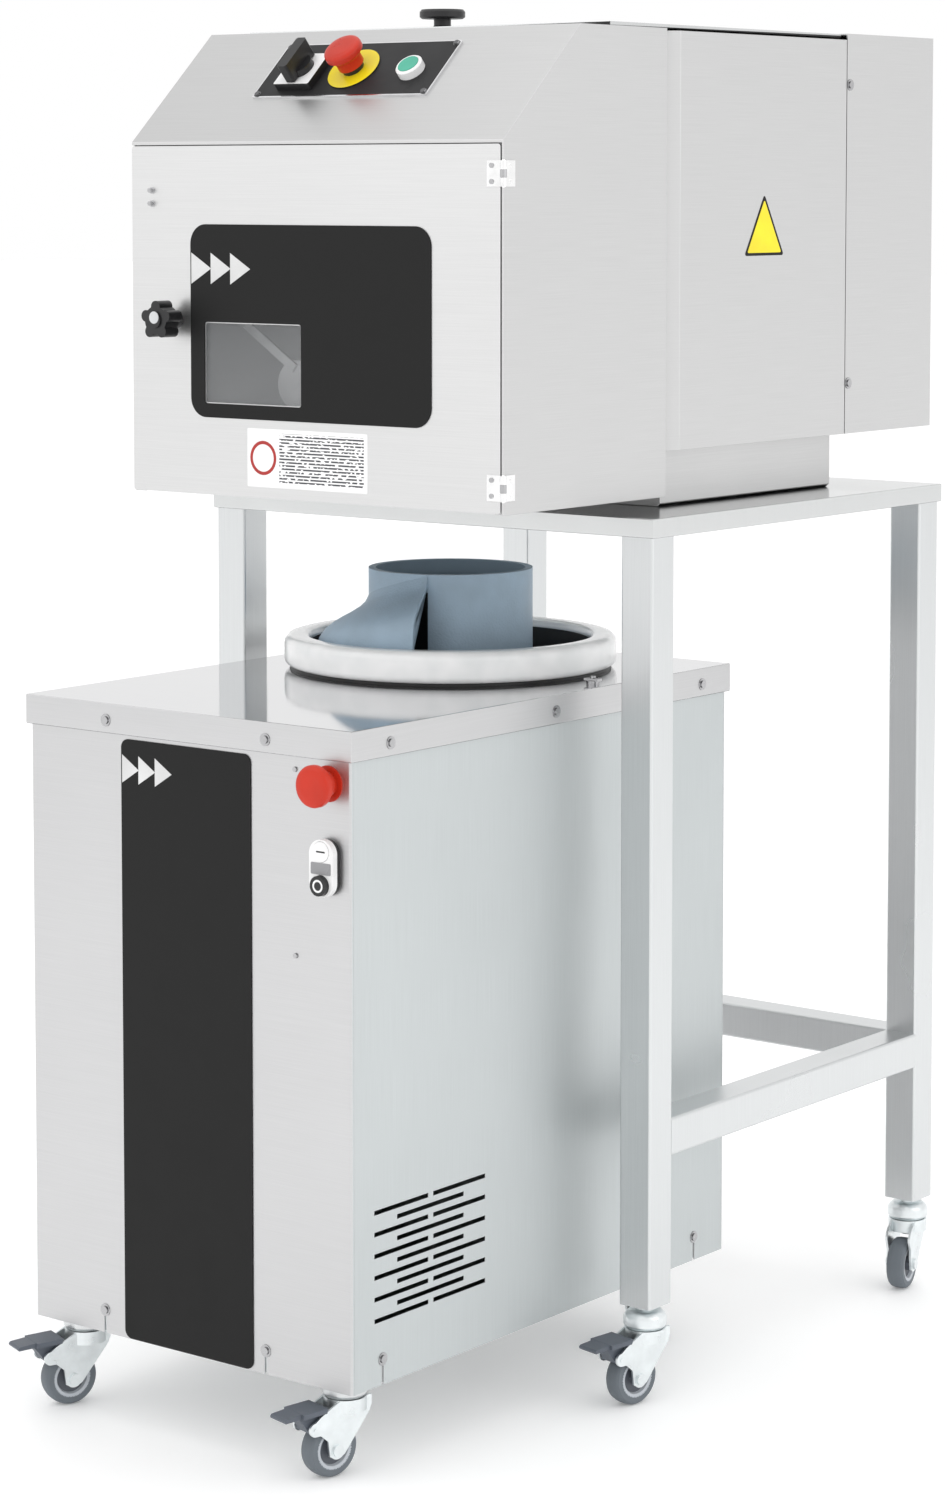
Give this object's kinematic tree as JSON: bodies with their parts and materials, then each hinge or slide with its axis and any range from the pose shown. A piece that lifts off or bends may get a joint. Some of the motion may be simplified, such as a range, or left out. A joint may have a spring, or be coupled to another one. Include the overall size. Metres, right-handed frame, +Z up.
{
  "type": "dough divider and rounder set",
  "caption": "Dough divider with hopper, window door and slanted control panel on a wheeled steel stand, with a dough rounder with a spiral and white ring rolled in beneath.",
  "frame": {"origin": "on the floor, under the middle of the set's bounding box", "axes": "+Z up, the fronts of both machines face -Y, +X to the right seen from the front"},
  "size_m": [0.606, 1.0672, 1.4648],
  "materials": {
    "steel": "brushed",
    "table_steel": "polished",
    "side_steel": "brushed",
    "door_steel": "brushed",
    "tube_steel": "satin",
    "polished_steel": "polished",
    "zinc": "zinc plated",
    "black_panel": "satin",
    "black_plastic": "satin",
    "control_black": "satin",
    "white_plastic": "glossy",
    "grey_plastic": "satin",
    "red_plastic": "glossy",
    "green_plastic": "glossy",
    "smoked_pane": "clear",
    "drum_black": "satin",
    "spiral_coating": "finely textured",
    "motor_paint": "satin",
    "wheel_rubber": "matte",
    "pedal_plastic": "satin"
  },
  "bodies": {
    "stand": {"stand_frame": "tube_steel", "stand_top": "table_steel", "stand_caster_heads": "zinc", "divider_base": "side_steel", "front_housing": "side_steel", "body_covers": "side_steel", "rear_housing": "side_steel", "hopper_tub": "steel", "outlet_cone": "polished_steel", "control_plate": "control_black", "control_bases": "white_plastic", "drive_motors": "motor_paint", "divider_hardware": "polished_steel", "door_hinges": "polished_steel"},
    "door": {"door": "door_steel", "door_panel": "black_panel", "door_window": "smoked_pane", "door_hardware": "polished_steel"},
    "clamp_knob": {"door_knob": "black_plastic"},
    "hopper_cover": {"hopper_lid": "steel", "lid_knob": "black_plastic"},
    "selector": {"selector_knob": "black_plastic"},
    "divider_estop": {"estop_head": "red_plastic"},
    "start": {"start_button": "green_plastic"},
    "auger": {"auger_screw": "polished_steel"},
    "knife_rotor": {"knife": "polished_steel"},
    "rounder": {"rounder_chassis": "tube_steel", "rounder_body": "side_steel", "rounder_lid": "table_steel", "rounder_panel": "black_panel", "rounder_hardware": "polished_steel", "bowl": "drum_black", "bowl_ring": "white_plastic", "rounder_gearmotor": "motor_paint", "rounder_control_bases": "white_plastic"},
    "spindle": {"drive_spindle": "polished_steel"},
    "spiral": {"rounding_spiral": "spiral_coating"},
    "rounder_estop": {"rounder_estop_head": "red_plastic"},
    "run": {"run_button": "white_plastic"},
    "stop": {"stop_button": "black_plastic"},
    "stand_caster_front_left": {"stand_fork_front_left": "zinc"},
    "stand_wheel_front_left": {"stand_wheel_front_left": "wheel_rubber"},
    "stand_pedal_left_lever": {"stand_pedal_left": "pedal_plastic"},
    "stand_caster_front_right": {"stand_fork_front_right": "zinc"},
    "stand_wheel_front_right": {"stand_wheel_front_right": "wheel_rubber"},
    "stand_pedal_right_lever": {"stand_pedal_right": "pedal_plastic"},
    "stand_caster_rear_left": {"stand_fork_rear_left": "zinc"},
    "stand_wheel_rear_left": {"stand_wheel_rear_left": "wheel_rubber"},
    "stand_caster_rear_right": {"stand_fork_rear_right": "zinc"},
    "stand_wheel_rear_right": {"stand_wheel_rear_right": "wheel_rubber"},
    "rounder_caster_front_left": {"rounder_fork_front_left": "zinc"},
    "rounder_wheel_front_left": {"rounder_wheel_front_left": "wheel_rubber"},
    "rounder_pedal_left_lever": {"rounder_pedal_left": "pedal_plastic"},
    "rounder_caster_front_right": {"rounder_fork_front_right": "zinc"},
    "rounder_wheel_front_right": {"rounder_wheel_front_right": "wheel_rubber"},
    "rounder_pedal_right_lever": {"rounder_pedal_right": "pedal_plastic"},
    "rounder_caster_rear_left": {"rounder_fork_rear_left": "zinc"},
    "rounder_wheel_rear_left": {"rounder_wheel_rear_left": "wheel_rubber"},
    "rounder_caster_rear_right": {"rounder_fork_rear_right": "zinc"},
    "rounder_wheel_rear_right": {"rounder_wheel_rear_right": "wheel_rubber"}
  },
  "joints": [
    {"name": "door_hinge", "type": "hinge", "parent": "stand", "child": "door", "pos_m": [0.253, -0.298, 1.131], "axis": [0, 0, 1], "range_deg": [0, 120]},
    {"name": "clamp_knob_turn", "type": "hinge", "parent": "door", "child": "clamp_knob", "pos_m": [-0.187, -0.307, 1.1335], "axis": [0, 1, 0], "continuous": true},
    {"name": "hopper_lid_hinge", "type": "hinge", "parent": "stand", "child": "hopper_cover", "pos_m": [0, 0.335, 1.444], "axis": [-1, 0, 0], "range_deg": [0, 85]},
    {"name": "selector_turn", "type": "hinge", "parent": "stand", "child": "selector", "pos_m": [-0.0695, -0.22752, 1.39781], "axis": [0, -0.6778, 0.7352], "range_deg": [0, 90]},
    {"name": "divider_estop_press", "type": "slide", "parent": "stand", "child": "divider_estop", "axis": [0, 0.6778, -0.7352], "range_m": [0, 0.005]},
    {"name": "start_press", "type": "slide", "parent": "stand", "child": "start", "axis": [0, 0.6778, -0.7352], "range_m": [0, 0.004], "stiffness_N_per_m": 300, "springref_m": -0.002},
    {"name": "auger_turn", "type": "hinge", "parent": "stand", "child": "auger", "pos_m": [0, 0.143, 1.098], "axis": [0, 1, 0], "continuous": true},
    {"name": "knife_turn", "type": "hinge", "parent": "stand", "child": "knife_rotor", "pos_m": [-0.075, -0.107, 1.065], "axis": [0, 1, 0], "continuous": true},
    {"name": "rounder_roll_out", "type": "slide", "parent": "stand", "child": "rounder", "axis": [0, -1, 0], "range_m": [0, 0.9]},
    {"name": "spindle_turn", "type": "hinge", "parent": "rounder", "child": "spindle", "pos_m": [-0.018, -0.0395, 0.5], "axis": [0, 0, 1], "continuous": true},
    {"name": "spiral_lift", "type": "slide", "parent": "spindle", "child": "spiral", "axis": [0, 0, 1], "range_m": [0, 0.04]},
    {"name": "rounder_estop_press", "type": "slide", "parent": "rounder", "child": "rounder_estop", "axis": [0, 1, 0], "range_m": [0, 0.005]},
    {"name": "run_press", "type": "slide", "parent": "rounder", "child": "run", "axis": [0, 1, 0], "range_m": [0, 0.003], "stiffness_N_per_m": 300, "springref_m": -0.002},
    {"name": "stop_press", "type": "slide", "parent": "rounder", "child": "stop", "axis": [0, 1, 0], "range_m": [0, 0.003], "stiffness_N_per_m": 300, "springref_m": -0.002},
    {"name": "stand_caster_front_left_swivel", "type": "hinge", "parent": "stand", "child": "stand_caster_front_left", "pos_m": [-0.28, -0.087, 0.07], "axis": [0, 0, 1], "continuous": true},
    {"name": "stand_wheel_front_left_roll", "type": "hinge", "parent": "stand_caster_front_left", "child": "stand_wheel_front_left", "pos_m": [-0.27316, -0.10579, 0.029], "axis": [0.9397, 0.342, 0], "continuous": true},
    {"name": "stand_pedal_left_press", "type": "hinge", "parent": "stand_caster_front_left", "child": "stand_pedal_left_lever", "pos_m": [-0.26427, -0.13023, 0.0546], "axis": [0.9397, 0.342, 0], "range_deg": [0, 10]},
    {"name": "stand_caster_front_right_swivel", "type": "hinge", "parent": "stand", "child": "stand_caster_front_right", "pos_m": [0.28, -0.087, 0.07], "axis": [0, 0, 1], "continuous": true},
    {"name": "stand_wheel_front_right_roll", "type": "hinge", "parent": "stand_caster_front_right", "child": "stand_wheel_front_right", "pos_m": [0.27584, -0.10656, 0.029], "axis": [0.9781, -0.2079, 0], "continuous": true},
    {"name": "stand_pedal_right_press", "type": "hinge", "parent": "stand_caster_front_right", "child": "stand_pedal_right_lever", "pos_m": [0.27044, -0.132, 0.0546], "axis": [0.9781, -0.2079, 0], "range_deg": [0, 10]},
    {"name": "stand_caster_rear_left_swivel", "type": "hinge", "parent": "stand", "child": "stand_caster_rear_left", "pos_m": [-0.28, 0.441, 0.07], "axis": [0, 0, 1], "continuous": true},
    {"name": "stand_wheel_rear_left_roll", "type": "hinge", "parent": "stand_caster_rear_left", "child": "stand_wheel_rear_left", "pos_m": [-0.28347, 0.4213, 0.029], "axis": [0.9848, -0.1736, 0], "continuous": true},
    {"name": "stand_caster_rear_right_swivel", "type": "hinge", "parent": "stand", "child": "stand_caster_rear_right", "pos_m": [0.28, 0.441, 0.07], "axis": [0, 0, 1], "continuous": true},
    {"name": "stand_wheel_rear_right_roll", "type": "hinge", "parent": "stand_caster_rear_right", "child": "stand_wheel_rear_right", "pos_m": [0.2845, 0.42151, 0.029], "axis": [0.9744, 0.225, 0], "continuous": true},
    {"name": "rounder_caster_front_left_swivel", "type": "hinge", "parent": "rounder", "child": "rounder_caster_front_left", "pos_m": [-0.184, -0.45, 0.07], "axis": [0, 0, 1], "continuous": true},
    {"name": "rounder_wheel_front_left_roll", "type": "hinge", "parent": "rounder_caster_front_left", "child": "rounder_wheel_front_left", "pos_m": [-0.19149, -0.46854, 0.029], "axis": [0.9272, -0.3746, 0], "continuous": true},
    {"name": "rounder_pedal_left_press", "type": "hinge", "parent": "rounder_caster_front_left", "child": "rounder_pedal_left_lever", "pos_m": [-0.20123, -0.49265, 0.0546], "axis": [0.9272, -0.3746, 0], "range_deg": [0, 10]},
    {"name": "rounder_caster_front_right_swivel", "type": "hinge", "parent": "rounder", "child": "rounder_caster_front_right", "pos_m": [0.172, -0.45, 0.07], "axis": [0, 0, 1], "continuous": true},
    {"name": "rounder_wheel_front_right_roll", "type": "hinge", "parent": "rounder_caster_front_right", "child": "rounder_wheel_front_right", "pos_m": [0.16716, -0.46941, 0.029], "axis": [0.9703, -0.2419, 0], "continuous": true},
    {"name": "rounder_pedal_right_press", "type": "hinge", "parent": "rounder_caster_front_right", "child": "rounder_pedal_right_lever", "pos_m": [0.16087, -0.49463, 0.0546], "axis": [0.9703, -0.2419, 0], "range_deg": [0, 10]},
    {"name": "rounder_caster_rear_left_swivel", "type": "hinge", "parent": "rounder", "child": "rounder_caster_rear_left", "pos_m": [-0.184, 0.067, 0.07], "axis": [0, 0, 1], "continuous": true},
    {"name": "rounder_wheel_rear_left_roll", "type": "hinge", "parent": "rounder_caster_rear_left", "child": "rounder_wheel_rear_left", "pos_m": [-0.174, 0.04968, 0.029], "axis": [0.866, 0.5, 0], "continuous": true},
    {"name": "rounder_caster_rear_right_swivel", "type": "hinge", "parent": "rounder", "child": "rounder_caster_rear_right", "pos_m": [0.172, 0.067, 0.07], "axis": [0, 0, 1], "continuous": true},
    {"name": "rounder_wheel_rear_right_roll", "type": "hinge", "parent": "rounder_caster_rear_right", "child": "rounder_wheel_rear_right", "pos_m": [0.17884, 0.04821, 0.029], "axis": [0.9397, 0.342, 0], "continuous": true}
  ]
}
